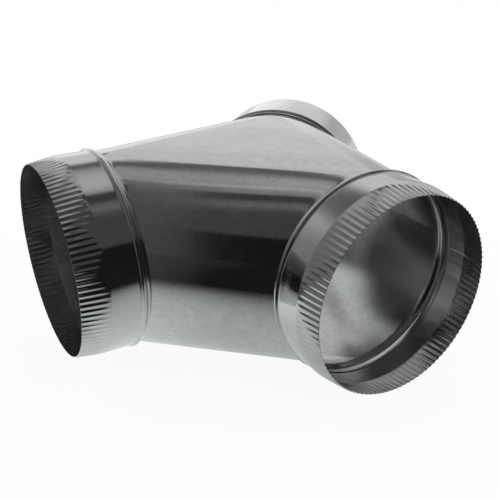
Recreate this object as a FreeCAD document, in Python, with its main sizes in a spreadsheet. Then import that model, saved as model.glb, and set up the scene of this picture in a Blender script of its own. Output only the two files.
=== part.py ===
"""Duct wye: a round trunk that splits into two round branches of the same size.

A folded sheet body carries three rolled collars. Each collar is locked to a short neck of the body by a
bead that is rolled through both sheets. The branch collars are crimped, so that they slip into the next
duct, and the trunk collar is plain, so that a crimped duct slips into it.

Millimetres and degrees, +Z up. The origin is the centre of the trunk's mouth. The trunk opens towards +Y,
and the branches lie in the XY plane, one on each side of -Y.
"""
import FreeCAD, Part
import Sketcher
import math
import os
from FreeCAD import Vector

SIZES = {
    "bore_diameter": 152.4,        # inside of a plain collar
    "sheet_thickness": 0.5,
    "branch_angle": 45.0,          # between a branch's axis and the trunk's, carried on past the crossing
    "branch_reach": 137.9,         # crossing of the axes to the fold where a branch's neck starts
    "trunk_reach": 52.2,           # the same for the trunk
    "neck_set_in": 0.8,            # how much smaller the neck is at the fold than past the bead
    "fit_clearance": 0.1,          # between a neck and its collar
    "bead_height": 1.6,
    "bead_width": 5.2,             # across the feet of the bead's sloping flanks
    "bead_crest": 2.0,             # across its flat crest
    "collar_gap": 0.6,             # fold to the collar's inner edge
    "collar_lip": 0.7,             # collar's inner edge to the foot of the bead
    "branch_collar_length": 48.3,  # fold to mouth
    "trunk_collar_length": 56.8,
    "crimp_count": 110,
    "crimp_length": 20.5,
    "crimp_depth": 0.8,            # crest to valley at the mouth
    "crimp_taper": 3.2,            # how much smaller the crests are at the mouth than the plain collar
    "lap_width": 10.0,             # overlap at a seam
}
SEWING_TOLERANCE = 1e-4
CRIMP_INSET = 0.06  # of the sheet's thickness
MOUTHS = ("right", "trunk", "left")  # in the order in which the body's walls join them

doc = FreeCAD.newDocument("duct_wye")
sheet = doc.addObject("Spreadsheet::Sheet", "sizes")
for row, (alias, value) in enumerate(SIZES.items(), start=1):
    sheet.set(f"A{row}", alias)
    sheet.set(f"B{row}", str(value))
    sheet.setAlias(f"B{row}", alias)
doc.recompute()


# A joint's sheets are layers, each given by its distance outwards from the neck's outer face.
NECK_INSIDE = "(-sizes.sheet_thickness)"
NECK_OUTSIDE = "0"
COLLAR_INSIDE = "sizes.fit_clearance"
COLLAR_OUTSIDE = "(sizes.fit_clearance + sizes.sheet_thickness)"

# Radii of the neck's outer face at the fold, on the bead's crest and past the bead.
BORE = "(sizes.bore_diameter / 2)"
LIP = f"({BORE} - sizes.fit_clearance)"
FOLD = f"({LIP} - sizes.neck_set_in)"
CREST = f"({LIP} + sizes.bead_height)"

# Places along a mouth's axis, from the fold outwards. The bead's corners spread with the layer by the mitre.
# The neck ends at the bead's outer foot, so that the plain bore past it is clear for a duct's end.
FLANK = "((sizes.bead_width - sizes.bead_crest) / 2)"
MITRE = f"tan(atan(sizes.bead_height / {FLANK}) / 2)"
BEAD_MIDDLE = (f"(sizes.collar_gap + sizes.collar_lip + {COLLAR_OUTSIDE} * {MITRE}"
               f" + sizes.neck_set_in * {FLANK} / sizes.bead_height + sizes.bead_width / 2)")
NECK_LENGTH = f"({BEAD_MIDDLE} + sizes.bead_width / 2)"
PLAIN_LENGTH = "(sizes.branch_collar_length - sizes.crimp_length)"
TRUNK_LENGTH = "(sizes.trunk_reach + sizes.trunk_collar_length)"


def value(expression):
    """The number that an expression of the sheet's cells gives."""
    return float(sheet.evalExpression(expression))


def mouth_angle(name):
    """An expression of the turn about Z that brings -Y to a mouth's axis."""
    return {"right": "sizes.branch_angle", "left": "(-sizes.branch_angle)", "trunk": "180"}[name]


def mouth_reach(name):
    """An expression of the distance from the crossing of the axes to a mouth's fold."""
    return "sizes.trunk_reach" if name == "trunk" else "sizes.branch_reach"


def place_at_fold(item, name):
    """Binds an object's Placement: its own +Z is the mouth's axis, and its z = 0 is the fold."""
    angle, reach = mouth_angle(name), mouth_reach(name)
    base = f"vector({reach} * sin({angle}); -{TRUNK_LENGTH} - {reach} * cos({angle}); 0)"
    item.setExpression("Placement", f"placement({base}; rotation({angle}; 0; 90))")


def bind(sketch, constraint, name, expression):
    """Adds a named constraint to a sketch and binds it to the sheet."""
    index = sketch.addConstraint(constraint)
    sketch.renameConstraint(index, name)
    sketch.setExpression(f"Constraints.{name}", expression)


def section(body, name, corners, side=1, plane="XZ_Plane"):
    """A closed outline beside a body's axis, with each corner's radius and height bound to the sheet."""
    sketch = body.newObject("Sketcher::SketchObject", name)
    support = next(item for item in body.Origin.OriginFeatures if item.Role == plane)
    sketch.AttachmentSupport = [(support, "")]
    sketch.MapMode = "FlatFace"
    points = [Vector(side * value(radius), value(height), 0) for radius, height in corners]
    for here, there in zip(points, points[1:] + points[:1]):
        sketch.addGeometry(Part.LineSegment(here, there))
    for index, (radius, height) in enumerate(corners):
        sketch.addConstraint(Sketcher.Constraint("Coincident", index, 2, (index + 1) % len(corners), 1))
        ends = (-1, 1, index, 1) if side > 0 else (index, 1, -1, 1)
        bind(sketch, Sketcher.Constraint("DistanceX", *ends, value(radius)), f"radius_{index}", radius)
        if value(height):
            rise = Sketcher.Constraint("DistanceY", -1, 1, index, 1, value(height))
            bind(sketch, rise, f"height_{index}", height)
        else:
            sketch.addConstraint(Sketcher.Constraint("PointOnObject", index, 1, -1))
    return sketch


def revolve(body, sketch, name):
    """Turns a sketch about its own vertical axis."""
    turn = body.newObject("PartDesign::Revolution", name)
    turn.Profile = sketch
    turn.ReferenceAxis = (sketch, ["V_Axis"])
    turn.Angle = 360
    body.Tip = turn
    return turn


def strip_face(layer, start):
    """One face of a beaded strip's section, as (radius, height): straight, then over the bead to its far foot."""
    low, crest, high = (f"{radius} + {layer}" for radius in (FOLD, CREST, LIP))
    spread = f"{layer} * {MITRE}"
    foot = f"{BEAD_MIDDLE} - sizes.bead_width / 2 - sizes.neck_set_in * {FLANK} / sizes.bead_height"
    return [(low, start), (low, f"{foot} - {spread}"),
            (crest, f"{BEAD_MIDDLE} - sizes.bead_crest / 2 - {spread}"),
            (crest, f"{BEAD_MIDDLE} + sizes.bead_crest / 2 + {spread}"),
            (high, f"{NECK_LENGTH} + {spread}")]


def beaded_strip(name, inside, outside, start, end=None):
    """A ring of sheet with the bead in it, which stops at the bead's far foot or runs on straight to an end."""
    body = doc.addObject("PartDesign::Body", name)
    inner, outer = strip_face(inside, start), strip_face(outside, start)
    far = [(f"{LIP} + {layer}", end) for layer in (inside, outside)] if end else []
    corners = inner + far + outer[::-1]
    revolve(body, section(body, f"{name}_section", corners), f"{name}_ring")
    return body


def add_lap(body, side, plane, inner, outer, start, end):
    """Adds a collar's lap seam: a second layer of sheet over a short arc, on one side of a plane's axis."""
    corners = [(inner, start), (outer, start), (outer, end), (inner, end)]
    lap = revolve(body, section(body, f"{body.Name}_lap_section", corners, side, plane), f"{body.Name}_lap")
    lap.Midplane = True
    lap.setExpression("Angle", f"sizes.lap_width / {BORE} * 180 / pi")


# Body: the hull of the three fold circles, as sheet.

def fold_ring(name, offset, bent):
    """A fold circle, grown by an offset: its halves, from the top to the bottom, its end points and its axis.

    Where the sheet is bent at the fold, the offset face's circle also lies further along the mouth's axis, by
    the tangent of half the bend. A branch's bend is the one at the crotch, the trunk's the one at its sides.
    """
    radius, reach = value(FOLD), value(mouth_reach(name))
    angle = math.radians(value("sizes.branch_angle"))
    bend = angle
    if name == "trunk":
        branch = value("sizes.branch_reach")
        across = branch * math.sin(angle) + radius * math.cos(angle) - radius
        along = branch * math.cos(angle) - radius * math.sin(angle) + reach
        bend = math.atan2(across, along)
    radius += offset
    if bent:
        reach += offset * math.tan(bend / 2)
    turn = math.radians(value(mouth_angle(name)))
    side = Vector(math.cos(turn), math.sin(turn), 0) * radius
    axis = Vector(math.sin(turn), -math.cos(turn), 0)
    centre = axis * reach - Vector(0, value(TRUNK_LENGTH), 0)
    top, bottom = (centre + Vector(0, 0, height) for height in (radius, -radius))
    plus, minus = (Part.Arc(top, centre + way, bottom).toShape() for way in (side, side * -1))
    return {"plus": plus, "minus": minus, "top": top, "bottom": bottom, "axis": axis}


def hull(name, offset, bent=True, run_on=0):
    """The solid inside the body's sheet: straight rulings between the fold circles, flat above and below.

    It can run on past the folds as cylinders, so that it cuts the mouths open.
    """
    rings = [fold_ring(mouth, offset, bent) for mouth in MOUTHS]
    faces = []
    for ring in rings:
        halves, way = [ring["plus"], ring["minus"]], ring["axis"] * run_on
        faces.append(Part.Face(Part.Wire(halves)).translated(way))
        if run_on:
            faces += [half.extrude(way) for half in halves]
    for ring, following in zip(rings, rings[1:] + rings[:1]):
        faces.append(Part.makeRuledSurface(ring["plus"], following["minus"]))
    for level in ("top", "bottom"):
        corners = [ring[level] for ring in rings]
        faces.append(Part.Face(Part.makePolygon(corners + corners[:1])))
    shell = Part.makeShell(faces)
    shell.sewShape(SEWING_TOLERANCE)
    item = doc.addObject("Part::Feature", name)
    item.Shape = Part.makeSolid(shell)
    return item


def side_lap(outer, skin, name, side):
    """The lap seam of a side wall: the upper sheet runs down over the lower one, outside it."""
    band = doc.addObject("Part::Box", f"{name}_lap_band")
    band.setExpression("Length", "sizes.branch_reach + sizes.bore_diameter")
    band.setExpression("Width", "sizes.trunk_reach + sizes.branch_reach * cos(sizes.branch_angle)")
    band.setExpression("Height", "sizes.lap_width")
    left = "0" if side > 0 else "-(sizes.branch_reach + sizes.bore_diameter)"
    band.setExpression("Placement", f"placement(vector({left}; -sizes.trunk_collar_length - sizes.trunk_reach"
                       " - sizes.branch_reach * cos(sizes.branch_angle); 0); rotation(0; 0; 0))")
    layer = doc.addObject("Part::MultiCommon", f"{name}_lap_layer")
    layer.Shapes = [skin, band]
    lap = doc.addObject("Part::Cut", f"{name}_lap")
    lap.Base, lap.Tool = layer, outer
    return lap


thickness = value("sizes.sheet_thickness")
outside = hull("outside", 0)
inside = hull("inside", -thickness, run_on=thickness)
skin = hull("lap_skin", thickness, bent=False)
wall = doc.addObject("Part::Cut", "wall")
wall.Base, wall.Tool = outside, inside
necks = [beaded_strip(f"{name}_neck", NECK_INSIDE, NECK_OUTSIDE, "0") for name in MOUTHS]
for neck, name in zip(necks, MOUTHS):
    place_at_fold(neck, name)
body = doc.addObject("Part::MultiFuse", "body")
body.Shapes = [wall, *necks, side_lap(outside, skin, "right", 1), side_lap(outside, skin, "left", -1)]
body.Label = "body"


# Collars: a beaded strip with its lap seam, and on the branches a crimped mouth.

def triangle(*corners):
    """A flat face with three corners."""
    return Part.Face(Part.makePolygon([*corners, corners[0]]))


def crimped_ring(name):
    """The crimped end of a branch collar: flat facets that run from a plain ring to a zigzag at the mouth.

    Each valley is a dart that starts at a point. The ring is set in a little from the plain collar's faces.
    """
    count, depth = int(value("sizes.crimp_count")), value("sizes.crimp_depth")
    start, mouth = value(PLAIN_LENGTH), value("sizes.branch_collar_length")
    inset = value("sizes.sheet_thickness") * CRIMP_INSET
    step = math.pi / count
    faces, rings, zigzags = [], [], []
    for layer, way in ((COLLAR_OUTSIDE, -1), (COLLAR_INSIDE, 1)):
        radius = value(f"{LIP} + {layer}")
        crest = radius - value("sizes.crimp_taper")
        turns = [Vector(math.cos(index * step), math.sin(index * step), 0) for index in range(2 * count)]
        ring = [turn * (radius + way * inset) + Vector(0, 0, start) for turn in turns]
        rim = [turn * (crest - depth * (index % 2)) + Vector(0, 0, mouth) for index, turn in enumerate(turns)]
        for index in range(2 * count):
            after = (index + 1) % (2 * count)
            ridge, valley = (after, index) if index % 2 else (index, after)
            faces.append(triangle(ring[index], ring[after], rim[ridge]))
            faces.append(triangle(rim[index], rim[after], ring[valley]))
        rings.append(Part.makePolygon(ring + ring[:1]))
        zigzags.append(Part.makePolygon(rim + rim[:1]))
    faces += [Part.makeFace(wires, "Part::FaceMakerBullseye") for wires in (rings, zigzags)]
    shell = Part.makeShell(faces)
    shell.sewShape(SEWING_TOLERANCE)
    crimps = doc.addObject("Part::Feature", f"{name}_crimps")
    crimps.Shape = Part.makeSolid(shell)
    return crimps


def branch_collar(name, side):
    """A branch's collar, with its lap inside, so that the plain outside stays round for the next duct."""
    label = f"{name}_branch_collar"
    strip = beaded_strip(f"{label}_strip", COLLAR_INSIDE, COLLAR_OUTSIDE, "sizes.collar_gap", PLAIN_LENGTH)
    add_lap(strip, side, "XZ_Plane", f"{BORE} - sizes.sheet_thickness", f"{BORE} + sizes.sheet_thickness / 2",
            f"{NECK_LENGTH} + sizes.collar_gap", PLAIN_LENGTH)
    collar = doc.addObject("Part::MultiFuse", label)
    collar.Shapes = [strip, crimped_ring(name)]
    collar.Label = label
    place_at_fold(collar, name)
    return collar


def plain_collar(label):
    """The trunk's collar, with its lap outside and below, so that the bore stays round for a crimped duct."""
    collar = beaded_strip(label, COLLAR_INSIDE, COLLAR_OUTSIDE, "sizes.collar_gap",
                          "sizes.trunk_collar_length")
    add_lap(collar, -1, "YZ_Plane", f"{BORE} + sizes.sheet_thickness / 2", f"{BORE} + 2 * sizes.sheet_thickness",
            f"{NECK_LENGTH} + sizes.collar_gap", "sizes.trunk_collar_length")
    collar.Label = label
    place_at_fold(collar, "trunk")
    return collar


nodes = [body, branch_collar("left", -1), branch_collar("right", 1), plain_collar("trunk_collar")]
doc.recompute()

for item in doc.Objects:
    if "Invalid" in item.State or "Error" in item.State:
        raise RuntimeError(f"{item.Label} failed: {item.State}")
os.makedirs("parts", exist_ok=True)
for node in nodes:
    if node.Shape.isNull() or not node.Shape.isValid() or len(node.Shape.Solids) != 1:
        raise RuntimeError(f"{node.Label} is not one valid solid")
for node in nodes:
    box = node.Shape.optimalBoundingBox()
    print(f"{node.Label}: {node.Shape.Volume:.0f} mm3, {box.XLength:.1f} x {box.YLength:.1f} x {box.ZLength:.1f}")
    node.Shape.exportStep(f"parts/{node.Label}.step")
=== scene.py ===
"""Looks of a galvanised duct wye: a folded sheet body and three rolled collars, locked together by beads.

Sizes are in millimetres in the frame of the part's source, and meshes are in metres. The origin is the
centre of the trunk's mouth, the trunk opens towards +Y, and +Z is up.
"""
import bmesh
import bpy
import numpy as np
from mathutils import Matrix, Vector


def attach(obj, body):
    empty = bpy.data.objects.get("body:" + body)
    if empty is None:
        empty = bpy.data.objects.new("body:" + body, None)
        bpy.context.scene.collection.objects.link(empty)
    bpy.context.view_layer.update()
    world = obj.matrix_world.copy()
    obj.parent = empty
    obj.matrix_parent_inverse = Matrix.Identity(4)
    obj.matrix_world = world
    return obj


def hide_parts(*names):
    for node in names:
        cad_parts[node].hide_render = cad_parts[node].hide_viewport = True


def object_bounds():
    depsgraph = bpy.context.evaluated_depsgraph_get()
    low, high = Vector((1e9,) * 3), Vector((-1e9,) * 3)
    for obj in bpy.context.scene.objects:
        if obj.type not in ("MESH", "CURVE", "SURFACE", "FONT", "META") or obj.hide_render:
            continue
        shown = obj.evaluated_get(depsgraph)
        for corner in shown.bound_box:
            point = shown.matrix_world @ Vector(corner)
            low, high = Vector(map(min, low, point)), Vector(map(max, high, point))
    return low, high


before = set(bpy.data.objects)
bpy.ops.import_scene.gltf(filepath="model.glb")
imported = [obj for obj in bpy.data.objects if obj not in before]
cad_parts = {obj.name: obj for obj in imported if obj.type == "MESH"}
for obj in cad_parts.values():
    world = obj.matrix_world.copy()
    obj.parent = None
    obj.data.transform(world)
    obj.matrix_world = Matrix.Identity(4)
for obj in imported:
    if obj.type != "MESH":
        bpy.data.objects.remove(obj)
cad_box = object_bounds()

# Body: one galvanised sheet, folded into straight-ruled walls between the three round mouths and flat above
# and below. Both side walls are lapped at mid-height, and a short beaded neck stands out of each mouth.
METRES = 0.001  # in a millimetre
SHEET = 0.5
CROSSING = np.array((0.0, -109.0, 0.0))
MOUTHS = {"right": (45.0, 137.9), "trunk": (180.0, 52.2), "left": (-45.0, 137.9)}  # turn from -Y, reach
BENDS = {"right": 45.0, "trunk": 38.0, "left": 45.0}  # how far the sheet bends at each fold
FOLD, CREST, LIP = 75.3, 77.7, 76.1  # a neck's outer radius at the fold, on the bead and past it
BEAD_START, CREST_START, CREST_END, BEAD_END = 1.55, 4.55, 5.35, 7.55  # heights above the fold
NECK_ENDS = {"right": 12.0, "trunk": BEAD_END, "left": 12.0}
EDGE_SHORT, BEAD_SHORT = 0.02, 0.1  # how much earlier the cut edge and the bead end on a neck's inside
LAP_WIDTH, LAP_RETURN, LAP_FADE = 10.0, 3.0, 0.02  # heights, and the share of a wall that fades its lap
BEND_PLACES = np.array((-20.0, -8.0, -3.0, 3.0, 9.0, 14.0, 20.0, 40.0, 64.0))  # past the front fold line
BEND_SLOPES = np.radians((0.0, 5.0, 8.3, 8.3, 2.0, -2.0, -4.6, -3.6, 0.0))  # down from the plain form
FAR_POWER, FOLD_POWER = 1.0, 0.3  # of the sine that fades the sag: at its far edge, and past the fold line
FRONT_SHARE = 0.75  # of a slanting mouth's arc, as it measures across the front's level lines
WALL_RIPPLE, FLAT_RIPPLE = 0.22, 0.2
RIPPLES = np.array(((0.061, 0.0, 0.043, 0.7), (0.037, -0.057, 0.0, 2.1), (0.0, 0.083, 0.049, 0.0)))
RULE_STEPS, ARC_STEPS, BEAD_STEPS, LIP_STEPS, SAG_STEPS = 50, 160, 15, 2, 399
RULE_SHARES = 0.5 - 0.5 * np.cos(np.linspace(0.0, np.pi, RULE_STEPS + 1))  # closer towards both ends
TURN_STEP, SHARP_ANGLE = 0.001, np.radians(48.0)
MERGE_WITHIN = 1e-7  # metres


def ease(value, start, end):
    """A smooth step from 0 at start to 1 at end: 3 t squared less 2 t cubed of the clipped fraction t."""
    t = np.clip((value - start) / (end - start), 0.0, 1.0)
    return t * t * (3.0 - 2.0 * t)


def mouth_points(name, radius, angle, height):
    """Points of a mouth: the crossing, plus the fold's reach and a height along the mouth's axis, plus a
    radius at an angle that turns from the mouth's side towards +Z."""
    turn, reach = np.radians(MOUTHS[name][0]), MOUTHS[name][1]
    side = np.array((np.cos(turn), np.sin(turn), 0.0))
    axis = np.array((np.sin(turn), -np.cos(turn), 0.0))
    radius, angle, height = (part[..., None] for part in np.broadcast_arrays(radius, angle, height))
    across = radius * np.cos(angle) * side + radius * np.sin(angle) * np.array((0.0, 0.0, 1.0))
    return CROSSING + (reach + height) * axis + across


def bead_radius(height):
    """A neck's outer radius: the fold's, eased up to the bead's crest and eased down again to the lip's."""
    rise = (CREST - FOLD) * ease(height, BEAD_START, CREST_START)
    return FOLD + rise - (CREST - LIP) * ease(height, CREST_END, BEAD_END)


def ripple(points):
    """Slight unevenness of pressed sheet, within 1: the mean of three long sine waves that run across each
    other, each with its turn for a millimetre of X, Y and Z, and its start."""
    return np.sin(points @ RIPPLES[:, :3].T + RIPPLES[:, 3]).mean(axis=-1)


def grid_faces(rows, columns, round_rows, round_columns):
    """Quads between neighbours of a grid of points, closed onto itself in the ways that are round."""
    index = np.arange(rows * columns).reshape(rows, columns)
    index = np.concatenate((index, index[:1]), axis=0) if round_rows else index
    index = np.concatenate((index, index[:, :1]), axis=1) if round_columns else index
    corners = (index[:-1, :-1], index[:-1, 1:], index[1:, 1:], index[1:, :-1])
    return np.stack(corners, axis=-1).reshape(-1, 4)


def sheet_piece(name, patches, material):
    """A closed piece of sheet from grids, each (points, round rows, round columns): meeting points are
    merged, faces turned outwards and shaded smooth, apart from cut edges."""
    points, faces, start = [], [], 0
    for grid, round_rows, round_columns in patches:
        faces.append(start + grid_faces(*grid.shape[:2], round_rows, round_columns))
        points.append(grid.reshape(-1, 3))
        start += len(points[-1])
    mesh = bpy.data.meshes.new(name)
    mesh.from_pydata(np.concatenate(points) * METRES, [], np.concatenate(faces))
    work = bmesh.new()
    work.from_mesh(mesh)
    bmesh.ops.remove_doubles(work, verts=work.verts, dist=MERGE_WITHIN)
    bmesh.ops.recalc_face_normals(work, faces=work.faces)
    work.to_mesh(mesh)
    work.free()
    mesh.polygons.foreach_set("use_smooth", np.ones(len(mesh.polygons), dtype=bool))
    mesh.set_sharp_from_angle(angle=SHARP_ANGLE)
    mesh.materials.append(material)
    piece = bpy.data.objects.new(name, mesh)
    bpy.context.collection.objects.link(piece)
    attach(piece, "root")
    return piece


def fold_height(name, offset):
    """How far along its axis a fold lies in a face that is offset from the sheet's outer one: the offset
    times the tangent of half the bend."""
    return offset * np.tan(np.radians(BENDS[name] / 2.0))


def sag(distance, share):
    """How far the top's front and the front's upper half sink below their plain form, as a sheet does that
    starts to bend before the fold line.

    It is the running sum of a slope over the distance past that line, less a square of the way that brings
    it back to nothing. Towards both ends of the line it fades as a power of a sine, steeper near the line.
    """
    places = np.linspace(BEND_PLACES[0], BEND_PLACES[-1], SAG_STEPS + 1)
    slopes = np.interp(places, BEND_PLACES, BEND_SLOPES)
    depths = np.cumsum(slopes) * (places[1] - places[0])
    depths -= depths[-1] * np.linspace(0.0, 1.0, SAG_STEPS + 1) ** 2
    power = np.interp(distance, (BEND_PLACES[0], 0.0), (FAR_POWER, FOLD_POWER))
    return np.interp(distance, places, depths) * np.sin(np.pi * np.minimum(share, 1.0 - share)) ** power


def wall(first, second, offset, lapped):
    """A side of the body: straight lines between two folds' half circles, from their tops to their bottoms.

    One angle from the top runs through both halves, so each line lies level. The face is pushed out along
    its normal by the ripple, which fades at the edges as sines, and the front sinks by the sag. In a lapped
    wall the upper sheet lies one sheet further out over the lap: its edge shows outside at mid-height, and
    the lower sheet's edge shows inside, a lap's width above.
    """
    angle = np.sort(np.append(np.linspace(0.0, np.pi, ARC_STEPS + 1), np.pi / 2.0))
    along = RULE_SHARES[None]

    def ruled(angle):
        """Both half circles' points at an angle, and the straight line between them."""
        start = mouth_points(first, FOLD + offset, np.pi / 2.0 - angle, fold_height(first, offset))
        end = mouth_points(second, FOLD + offset, np.pi / 2.0 + angle, fold_height(second, offset))
        return start[:, None] * (1.0 - along[..., None]) + end[:, None] * along[..., None]

    points = ruled(angle)
    lines, steps = points[:, -1:] - points[:, :1], ruled(angle + TURN_STEP) - ruled(angle - TURN_STEP)
    normal = np.cross(lines, steps)
    normal /= np.linalg.norm(normal, axis=-1, keepdims=True)
    normal *= np.sign(normal[ARC_STEPS // 2, 0] @ (points[ARC_STEPS // 2, 0] - CROSSING))
    push = WALL_RIPPLE * ripple(points) * np.sin(angle)[:, None] * np.sin(np.pi * along)
    if first == "left":
        push = push - sag(FRONT_SHARE * FOLD * angle[:, None], along)
    if lapped:
        height = FOLD * np.cos(angle)
        upper = np.arange(len(angle)) <= ARC_STEPS // 2 if offset == 0.0 else height > LAP_WIDTH
        over = np.where(upper, 1.0 - ease(height, LAP_WIDTH, LAP_WIDTH + LAP_RETURN), 0.0)
        ends = ease(along, 0.0, LAP_FADE) * ease(1.0 - along, 0.0, LAP_FADE)
        push = push + SHEET * over[:, None] * ends
    return points + normal * push[..., None]


def flat(level, offset):
    """The flat top or bottom: a triangle between the folds' highest or lowest points, as lines that fan out
    from the trunk's. The ripple moves its middle, times a product of the ways to its sides, 1 at most."""
    trunk, right, left = (mouth_points(name, FOLD + offset, level * np.pi / 2.0, fold_height(name, offset))
                          for name in ("trunk", "right", "left"))
    out, across = np.meshgrid(RULE_SHARES, RULE_SHARES, indexing="ij")
    points = trunk + out[..., None] * ((right - trunk) + across[..., None] * (left - right))
    middle = 27.0 * (1.0 - out) * out * out * across * (1.0 - across)
    points[..., 2] += level * FLAT_RIPPLE * middle * ripple(points)
    if level > 0:
        points[..., 2] -= sag(right[1] - points[..., 1], across)
    return points


def neck(name):
    """A neck: its beaded outside, its cut edge and its inside, turned about the mouth's axis."""
    bead = np.linspace(0.0, BEAD_END, BEAD_STEPS + 1)
    outside = np.append(bead, np.linspace(BEAD_END, NECK_ENDS[name], LIP_STEPS + 1)[1:])
    bead = np.linspace(BEAD_END - BEAD_SHORT, fold_height(name, -SHEET), BEAD_STEPS + 1)
    inside = np.append(NECK_ENDS[name] - EDGE_SHORT, bead)
    height = np.concatenate((outside, inside))[:, None]
    radius = np.concatenate((bead_radius(outside), bead_radius(inside) - SHEET))[:, None]
    angle = np.pi / 2.0 - np.arange(2 * ARC_STEPS)[None] * np.pi / ARC_STEPS
    return mouth_points(name, radius, angle, height)


# The zinc on the sheet: a fine pebbled skin with faint crystals, soft clouds and a few small dark specks.
# The inside of the duct is duller, and its tone carries painted shade, a little lower than outside.
CRYSTALS, PEBBLES, CLOUDS, SPECKS, CROWDS = 240.0, 380.0, 24.0, 300.0, 14.0  # to the metre
# The first is painted shade: how much lower the inside's tone is than the outside's.
INSIDE_PAINTED_SHADE, INSIDE_DULLER = 0.03, 0.12
PEBBLE_STRENGTH, PEBBLE_HEIGHT = 0.12, 0.0001  # a share, and metres
BODY_BRIGHTNESS, BODY_MARKS = 0.62, 1.0


def add(tree, kind, inputs, **settings):
    """Adds a shader node: its settings, then its inputs by name or place, as numbers or linked sockets."""
    node = tree.nodes.new(kind)
    for name, choice in settings.items():
        setattr(node, name, choice)
    for place, given in inputs.items():
        if isinstance(given, bpy.types.NodeSocket):
            tree.links.new(given, node.inputs[place])
        else:
            node.inputs[place].default_value = given
    return node


def combine(tree, operation, first, second):
    """One sum, product or other operation of two values."""
    return add(tree, "ShaderNodeMath", {0: first, 1: second}, operation=operation).outputs[0]


def span(tree, source, ends, becomes, shape="LINEAR"):
    """A value carried from one range to another and held at its ends."""
    inputs = {0: source, 1: ends[0], 2: ends[1], 3: becomes[0], 4: becomes[1]}
    return add(tree, "ShaderNodeMapRange", inputs, interpolation_type=shape).outputs[0]


def vector(tree, operation, *inputs):
    """The results of one operation on vectors."""
    return add(tree, "ShaderNodeVectorMath", dict(enumerate(inputs)), operation=operation).outputs


def noise(tree, place, scale, detail):
    """Smooth noise between 0 and 1, with that many finer layers."""
    return add(tree, "ShaderNodeTexNoise", {"Vector": place, "Scale": scale, "Detail": detail}).outputs[0]


def zinc_surface():
    """Node group: tone, roughness and height of zinc-coated sheet, from Object coordinates. Faces that look
    towards the crossing are the inside, which is duller and without the pebbles, and whose tone carries
    painted shade, a little lower."""
    tree = bpy.data.node_groups.new("zinc_surface", "ShaderNodeTree")
    for name in ("Vector", "Normal"):
        tree.interface.new_socket(name, in_out="INPUT", socket_type="NodeSocketVector")
    for name in ("Brightness", "Marks"):
        tree.interface.new_socket(name, in_out="INPUT", socket_type="NodeSocketFloat")
    for name in ("Tone", "Roughness", "Height"):
        tree.interface.new_socket(name, in_out="OUTPUT", socket_type="NodeSocketFloat")
    given, results = tree.nodes.new("NodeGroupInput").outputs, tree.nodes.new("NodeGroupOutput").inputs
    place, marks = given["Vector"], given["Marks"]
    crystals = add(tree, "ShaderNodeTexVoronoi", {"Vector": place, "Scale": CRYSTALS}).outputs["Color"]
    grain = add(tree, "ShaderNodeSeparateColor", {0: crystals}).outputs
    pebbles, clouds = noise(tree, place, PEBBLES, 3.0), noise(tree, place, CLOUDS, 4.0)
    specks, crowds = noise(tree, place, SPECKS, 1.0), noise(tree, place, CROWDS, 1.0)
    outward = vector(tree, "SUBTRACT", place, CROSSING * METRES)[0]
    facing = vector(tree, "DOT_PRODUCT", outward, given["Normal"])["Value"]
    inside = span(tree, facing, (-0.001, 0.001), (1.0, 0.0))

    mottle = combine(tree, "MULTIPLY", span(tree, grain[0], (0.0, 1.0), (-0.05, 0.05)), marks)
    tone = combine(tree, "ADD", mottle, 1.0)
    tone = combine(tree, "MULTIPLY", tone, span(tree, clouds, (0.3, 0.7), (0.95, 1.04)))
    spots = span(tree, specks, (0.63, 0.72), (0.0, 0.18))
    spots = combine(tree, "MULTIPLY", spots, span(tree, crowds, (0.42, 0.58), (0.15, 1.0)))
    spots = combine(tree, "MULTIPLY", spots, marks)
    tone = combine(tree, "MULTIPLY", tone, combine(tree, "SUBTRACT", 1.0, spots))
    # Painted shade: the inside's tone is lowered.
    painted_inside_shade = combine(tree, "MULTIPLY", inside, INSIDE_PAINTED_SHADE)
    tone = combine(tree, "MULTIPLY", tone, combine(tree, "SUBTRACT", given["Brightness"], painted_inside_shade))

    dull = span(tree, clouds, (0.3, 0.7), (0.07, 0.10))
    dull = combine(tree, "ADD", dull, span(tree, grain[1], (0.0, 1.0), (-0.01, 0.01)))
    dull = combine(tree, "ADD", dull, combine(tree, "MULTIPLY", inside, INSIDE_DULLER))
    skin = combine(tree, "ADD", pebbles, span(tree, clouds, (0.0, 1.0), (0.0, 2.0)))
    skin = combine(tree, "MULTIPLY", skin, combine(tree, "SUBTRACT", 1.0, inside))
    for name, value in (("Tone", tone), ("Roughness", dull), ("Height", skin)):
        tree.links.new(value, results[name])
    return tree


def zinc_sheet(name, group, brightness, marks):
    """A metal with the zinc's varying tone, roughness and height."""
    material = bpy.data.materials.new(name)
    material.use_nodes = True
    tree = material.node_tree
    place = tree.nodes.new("ShaderNodeTexCoord").outputs
    inputs = {"Vector": place["Object"], "Normal": place["Normal"]}
    inputs.update({"Brightness": brightness, "Marks": marks})
    zinc = add(tree, "ShaderNodeGroup", inputs, node_tree=group).outputs
    pebbled = {"Strength": PEBBLE_STRENGTH, "Distance": PEBBLE_HEIGHT, "Height": zinc["Height"]}
    bump = add(tree, "ShaderNodeBump", pebbled).outputs[0]
    shader = tree.nodes["Principled BSDF"].inputs
    shader["Metallic"].default_value = 1.0
    tree.links.new(zinc["Tone"], shader["Base Color"])
    tree.links.new(zinc["Roughness"], shader["Roughness"])
    tree.links.new(bump, shader["Normal"])
    return material


zinc = zinc_surface()
body_sheet = zinc_sheet("body_sheet", zinc, BODY_BRIGHTNESS, BODY_MARKS)
sides = (("right", "trunk", True), ("trunk", "left", True), ("left", "right", False))
patches = []
for offset in (0.0, -SHEET):
    for first, second, lapped in sides:
        patches.append((wall(first, second, offset, lapped), False, False))
    for level in (1, -1):
        patches.append((flat(level, offset), False, False))
for name in MOUTHS:
    patches.append((neck(name), False, True))
body = sheet_piece("folded_body", patches, body_sheet)
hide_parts("body")

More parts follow.
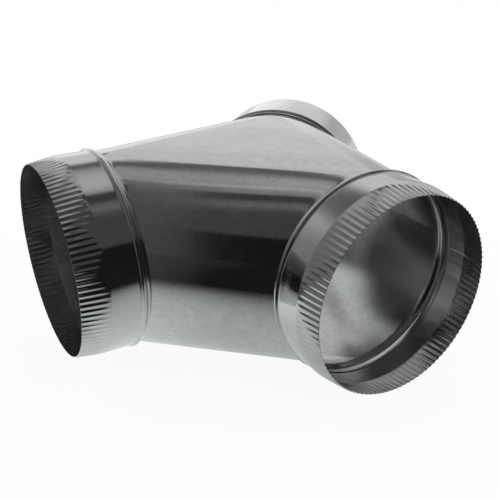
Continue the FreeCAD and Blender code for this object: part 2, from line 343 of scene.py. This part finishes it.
# Branch collars: rolled strips of galvanised sheet, lapped inside, that are slid over the body's necks
# before the bead is rolled through both. Their ends are crimped, so that the next duct slips over them.
CLEARANCE = 0.1
COLLAR_START, BRANCH_LENGTH, CRIMP_LENGTH = 0.6, 48.3, 20.5
CRIMPS, CRIMP_DEPTH, CRIMP_TAPER, CRIMP_COLUMNS = 110, 0.75, 3.2, 10
TAPER_POWER, VALLEY_POWER = 1.15, 0.8
FIRST_DEPTH, FIRST_WAY = 0.2, 0.3  # the share of a crimp's depth that it gains over the first of its way
INNER_DEPTH = 0.5  # the share of a crimp's depth on the inner face
LAP_EDGE, LAP_START, LAP_FULL = 0.25, 0.6, 1.0  # half the step at a lap's sides, and heights past the neck
COLLAR_BRIGHTNESS, COLLAR_MARKS = 0.65, 0.3


def crimp_fall(angle, height, share):
    """How far crimping draws the sheet in: a taper that is a power of the way to the mouth, and valleys with
    round bottoms, a power of a cosine, that deepen along it. A face shows a share of their depth."""
    way = np.clip((height - (BRANCH_LENGTH - CRIMP_LENGTH)) / CRIMP_LENGTH, 0.0, 1.0)
    deepening = FIRST_DEPTH * ease(way, 0.0, FIRST_WAY) + (1.0 - FIRST_DEPTH) * way
    valleys = (0.5 - 0.5 * np.cos(CRIMPS * angle)) ** VALLEY_POWER
    return CRIMP_TAPER * way ** TAPER_POWER + share * CRIMP_DEPTH * deepening * valleys


def lap(name, angle, height, seam):
    """The second layer of sheet at a collar's seam: one sheet thick over the lap's width past the neck."""
    away = np.abs((angle - seam + np.pi) % (2.0 * np.pi) - np.pi) * LIP
    across = 1.0 - ease(away, LAP_WIDTH / 2.0 - LAP_EDGE, LAP_WIDTH / 2.0 + LAP_EDGE)
    return SHEET * across * ease(height, NECK_ENDS[name] + LAP_START, NECK_ENDS[name] + LAP_FULL)


def collar(name, height, columns, fall, seam, layer_outside, layer_inside):
    """A collar: its outside from the inner edge over the bead to the mouth, and its inside back again, both
    turned about the mouth's axis, less what crimping draws in, with the seam's layer on one of them."""
    angle = (np.arange(columns) * 2.0 * np.pi / columns)[None]
    outside, inside = height[:, None], height[::-1, None]
    outer = bead_radius(outside) + CLEARANCE + SHEET - fall(angle, outside, 1.0)
    outer = outer + layer_outside * lap(name, angle, outside, seam)
    inner = bead_radius(inside) + CLEARANCE - fall(angle, inside, INNER_DEPTH)
    inner = inner - layer_inside * lap(name, angle, inside, seam)
    return mouth_points(name, np.concatenate((outer, inner)), angle, np.concatenate((outside, inside)))


def runs(*stretches):
    """Heights in a row: even steps along each stretch, given as (start, end, number of heights)."""
    return np.concatenate([np.linspace(*stretch) for stretch in stretches])


collar_sheet = zinc_sheet("collar_sheet", zinc, COLLAR_BRIGHTNESS, COLLAR_MARKS)
crimp_heights = BRANCH_LENGTH - CRIMP_LENGTH + CRIMP_LENGTH * np.linspace(0.0, 1.0, 15) ** 1.6
branch_heights = np.append(runs((COLLAR_START, 8.0, 18), (8.15, 12.6, 4), (13.0, 27.7, 6)), crimp_heights)
for name, seam in (("left", np.pi), ("right", 0.0)):
    surface = collar(name, branch_heights, CRIMP_COLUMNS * CRIMPS, crimp_fall, seam, 0, 1)
    piece = sheet_piece(f"{name}_crimped_collar", [(surface, True, True)], collar_sheet)
    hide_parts(f"{name}_branch_collar")

# Trunk collar: the same rolled strip with a plain mouth, lapped outside along the bottom, so that the
# crimped end of a duct slides into its bore.
TRUNK_LENGTH, TRUNK_COLUMNS = 56.8, 720
TRUNK_BRIGHTNESS, TRUNK_MARKS = 0.76, 0.3


def no_crimps(angle, height, share):
    """A plain collar isn't drawn in."""
    return 0.0 * angle


trunk_heights = runs((COLLAR_START, 8.0, 18), (8.15, 8.6, 4), (9.0, TRUNK_LENGTH, 12))
surface = collar("trunk", trunk_heights, TRUNK_COLUMNS, no_crimps, -np.pi / 2.0, 1, 0)
trunk_sheet = zinc_sheet("trunk_sheet", zinc, TRUNK_BRIGHTNESS, TRUNK_MARKS)
piece = sheet_piece("plain_collar", [(surface, True, True)], trunk_sheet)
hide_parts("trunk_collar")

# Floor: a plain white sheet that the collars rest on. It is white to the camera. In the metal it shows
# painted
# light and shade: a painted pool of light behind and under the part, and painted shade in front, on the left
# and on the right, which stands for the dark room and for the part's own shadow on the floor.
FLOOR_LEVEL, FLOOR_REACH = cad_box[0][2], 6.0
WHITE, FLOOR_GREY, FLOOR_HUE = (1.0, 1.0, 1.0, 1.0), (0.97, 0.97, 0.97, 1.0), (0.97, 1.03, 0.99, 1.0)
FLOOR_GLOW = 0.92  # the rest takes the part's shadow
NO_TINT = (1.0, 1.0, 1.0)
# Painted light and shade on the floor as the metal sees it: the brightness from front to back, and across
# from left to right.
FRONT_STOPS = ((0.14, 0.0), (0.20, 0.08), (0.28, 0.30), (0.36, 0.48), (0.44, 0.58), (0.56, 0.68),
               (0.9, 0.75))  # places along a gradient, each with its brightness
ACROSS_STOPS = ((0.1, 0.04), (0.20, 0.4), (0.29, 1.0), (0.44, 0.85), (0.50, 0.76), (0.65, 0.76),
                (0.75, 0.05))
FRONT_LEVEL, BEHIND_LEVEL, FRONT_SLANT = 1.18, 0.66, 0.2


def gradient(tree, source, tint, stops):
    """A brightness of one tint that changes along a value between 0 and 1."""
    node = add(tree, "ShaderNodeValToRGB", {0: source})
    while len(node.color_ramp.elements) < len(stops):
        node.color_ramp.elements.new(0.5)
    for element, (place, grey) in zip(node.color_ramp.elements, stops):
        element.position = place
        element.color = (*(grey * np.array(tint)), 1.0)
    return node.outputs[0]


def blend(tree, share, first, second):
    """A mix of two colours."""
    return add(tree, "ShaderNodeMix", {0: share, 6: first, 7: second}, data_type="RGBA").outputs[2]


def axes(tree, source):
    """A vector's X, Y and Z."""
    return add(tree, "ShaderNodeSeparateXYZ", {0: source}).outputs


floor_mesh = bpy.data.meshes.new("floor")
edge_x, edge_y = np.meshgrid((-FLOOR_REACH, FLOOR_REACH), (-FLOOR_REACH, FLOOR_REACH))
corners = np.stack((edge_x, edge_y, np.full_like(edge_x, FLOOR_LEVEL)), axis=-1).reshape(-1, 3)
floor_mesh.from_pydata(corners, [], grid_faces(2, 2, False, False))
floor = bpy.data.objects.new("floor", floor_mesh)
bpy.context.collection.objects.link(floor)
floor_sheet = bpy.data.materials.new("floor_sheet")
floor_sheet.use_nodes = True
tree = floor_sheet.node_tree
tree.nodes.remove(tree.nodes["Principled BSDF"])
in_metal = tree.nodes.new("ShaderNodeLightPath").outputs["Is Glossy Ray"]
place = tree.nodes.new("ShaderNodeTexCoord").outputs["Object"]
spot = axes(tree, place)
# The floor's painted light in the metal: a painted pool of light behind, falling off to painted shade in
# front and to both sides.
ahead = combine(tree, "SUBTRACT", spot["Y"], combine(tree, "MULTIPLY", spot["X"], FRONT_SLANT))
front = gradient(tree, span(tree, ahead, (-0.5, 0.0), (0.0, 1.0)), NO_TINT, FRONT_STOPS)
across = gradient(tree, span(tree, spot["X"], (-0.4, 0.4), (0.0, 1.0)), NO_TINT, ACROSS_STOPS)
front = combine(tree, "MULTIPLY", combine(tree, "MULTIPLY", front, across), FRONT_LEVEL)
on_right = span(tree, spot["X"], (-0.12, 0.0), (0.0, 0.54))
close = combine(tree, "MULTIPLY", on_right, span(tree, spot["Y"], (0.2, 0.6), (1.0, 0.0)))
behind = span(tree, spot["Y"], (-0.04, 0.10), (0.0, 1.0))
behind = combine(tree, "MULTIPLY", behind, combine(tree, "ADD", close, BEHIND_LEVEL))
outward = vector(tree, "NORMALIZE", vector(tree, "SUBTRACT", place, CROSSING * METRES)[0])[0]
far = span(tree, axes(tree, outward)["X"], (-0.36, -0.20), (0.055, 0.006))
# All of this is painted light and shade, seen only by the metal.
painted_floor_light = combine(tree, "ADD", far, combine(tree, "MAXIMUM", front, behind))
strength = add(tree, "ShaderNodeMix", {0: in_metal, 2: 1.0, 3: painted_floor_light}).outputs[0]
hue = blend(tree, in_metal, WHITE, FLOOR_HUE)
glow = add(tree, "ShaderNodeEmission", {"Color": hue, "Strength": strength}).outputs[0]
lit = add(tree, "ShaderNodeBsdfDiffuse", {"Color": FLOOR_GREY}).outputs[0]
own = span(tree, in_metal, (0.0, 1.0), (FLOOR_GLOW, 1.0))
surface = add(tree, "ShaderNodeMixShader", {0: own, 1: lit, 2: glow}).outputs[0]
tree.links.new(surface, tree.nodes["Material Output"].inputs["Surface"])
floor_mesh.materials.append(floor_sheet)

# Studio: a white surround for the camera. The metal also sees a white sweep behind the part, a pale ceiling
# that ends in a dark gap overhead, a dim wall on the left, and a dark room on the camera's side.
SWEEP_TINT, ROOM_TINT, WALL_TINT = (1.0, 0.99, 1.02), (0.97, 1.03, 1.0), (0.98, 1.02, 1.0)
SWEEP_STOPS = ((0.0, 1.0), (0.20, 0.92), (0.27, 0.76), (0.31, 0.66), (0.38, 0.72), (0.55, 0.72),
               (0.59, 0.60), (0.62, 0.38), (0.65, 0.18), (0.69, 0.12), (0.73, 0.17), (0.76, 0.28),
               (0.79, 0.40), (0.87, 0.52), (0.95, 0.50), (1.0, 0.38))
ROOM_STOPS = ((0.45, 0.06), (0.54, 0.09), (0.63, 0.16), (0.72, 0.13), (0.80, 0.05), (0.93, 0.05),
              (1.0, 0.25))
WALL_STOPS = ((0.01, 0.04), (0.05, 0.09), (0.25, 0.14), (0.50, 0.20), (0.68, 0.28))
ROOM_START, NEAR_BLACK = 0.9, (0.006, 0.006, 0.006, 1.0)
RIGHT_SHARE = 0.5


def slope(tree, direction):
    """How far a direction points back, less half of how far it points right."""
    return combine(tree, "SUBTRACT", direction["Y"], combine(tree, "MULTIPLY", direction["X"], RIGHT_SHARE))


world = bpy.data.worlds.new("studio")
bpy.context.scene.world = world
world.use_nodes = True
tree = world.node_tree
towards = axes(tree, tree.nodes.new("ShaderNodeTexCoord").outputs["Generated"])
flattened = add(tree, "ShaderNodeCombineXYZ", {0: towards["X"], 1: towards["Y"]}).outputs[0]
compass = axes(tree, vector(tree, "NORMALIZE", flattened)[0])
sweep = gradient(tree, towards["Z"], SWEEP_TINT, SWEEP_STOPS)
dark_room = gradient(tree, combine(tree, "ADD", slope(tree, towards), ROOM_START), ROOM_TINT, ROOM_STOPS)
raised = span(tree, towards["Z"], (0.39, 0.45), (0.0, 1.0), "SMOOTHSTEP")
dark_room = blend(tree, raised, NEAR_BLACK, dark_room)
left_wall = gradient(tree, span(tree, compass["Y"], (-1.0, 1.0), (0.0, 1.0)), WALL_TINT, WALL_STOPS)
on_left = span(tree, towards["X"], (-0.36, -0.25), (1.0, 0.0), "SMOOTHSTEP")
room = blend(tree, on_left, dark_room, left_wall)
behind = span(tree, compass["Y"], (0.05, 0.75), (0.0, 1.0), "SMOOTHSTEP")
turned_back = span(tree, slope(tree, compass), (0.1, 0.8), (0.0, 1.0), "SMOOTHSTEP")
behind = combine(tree, "MULTIPLY", behind, turned_back)
dim_left = span(tree, compass["X"], (-0.65, -0.05), (0.55, 0.0))
dim_left = combine(tree, "MULTIPLY", span(tree, towards["Z"], (0.70, 0.78), (0.0, 1.0)), dim_left)
dim_right = span(tree, compass["X"], (-0.16, 0.02), (0.0, 0.5))
dim_right = combine(tree, "MULTIPLY", span(tree, towards["Z"], (0.20, 0.28), (1.0, 0.0)), dim_right)
undimmed = combine(tree, "SUBTRACT", 1.0, combine(tree, "ADD", dim_left, dim_right))
behind = combine(tree, "MULTIPLY", behind, undimmed)
overhead = span(tree, slope(tree, towards), (0.20, 0.32), (0.0, 1.0), "SMOOTHSTEP")
highest = span(tree, towards["Z"], (0.90, 0.96), (0.0, 1.0), "SMOOTHSTEP")
overhead = combine(tree, "MULTIPLY", overhead, highest)
room = blend(tree, combine(tree, "MAXIMUM", behind, overhead), room, sweep)
in_metal = tree.nodes.new("ShaderNodeLightPath").outputs["Is Glossy Ray"]
tree.links.new(blend(tree, in_metal, WHITE, room), tree.nodes["Background"].inputs["Color"])

# Camera: above the front, a little to the right, turned and shifted as the photograph is framed. Its place
# is fitted to the collars' rims and beads and to the outline.
AZIMUTH, ELEVATION, ROLL = np.radians((10.88, 23.89, 0.62))
DISTANCE, ASIDE, ABOVE = 592.4, 28.36, -20.57
FOCAL, PICTURE, SENSOR = 668.7, 500.0, 36.0  # pixels, pixels and millimetres
SHIFT_X, SHIFT_Y = -0.09, -0.03  # of the picture's width
away = np.array((np.sin(AZIMUTH), -np.cos(AZIMUTH), 0.0))
back = np.cos(ELEVATION) * away + np.sin(ELEVATION) * np.array((0.0, 0.0, 1.0))
sideways = np.array((np.cos(AZIMUTH), np.sin(AZIMUTH), 0.0))
upright = np.cross(back, sideways)
right = np.cos(ROLL) * sideways + np.sin(ROLL) * upright
up = np.cos(ROLL) * upright - np.sin(ROLL) * sideways
eye = (CROSSING + back * DISTANCE + right * ASIDE + up * ABOVE) * METRES
turned = Matrix(np.stack((right, up, back), axis=1).tolist()).to_4x4()
lens = bpy.data.cameras.new("camera")
lens.sensor_width = SENSOR
lens.lens = FOCAL * SENSOR / PICTURE
lens.shift_x, lens.shift_y = SHIFT_X, SHIFT_Y
camera = bpy.data.objects.new("camera", lens)
camera.matrix_world = Matrix.Translation(Vector(eye)) @ turned
bpy.context.collection.objects.link(camera)
bpy.context.scene.camera = camera
bpy.context.scene.view_settings.view_transform = "Standard"
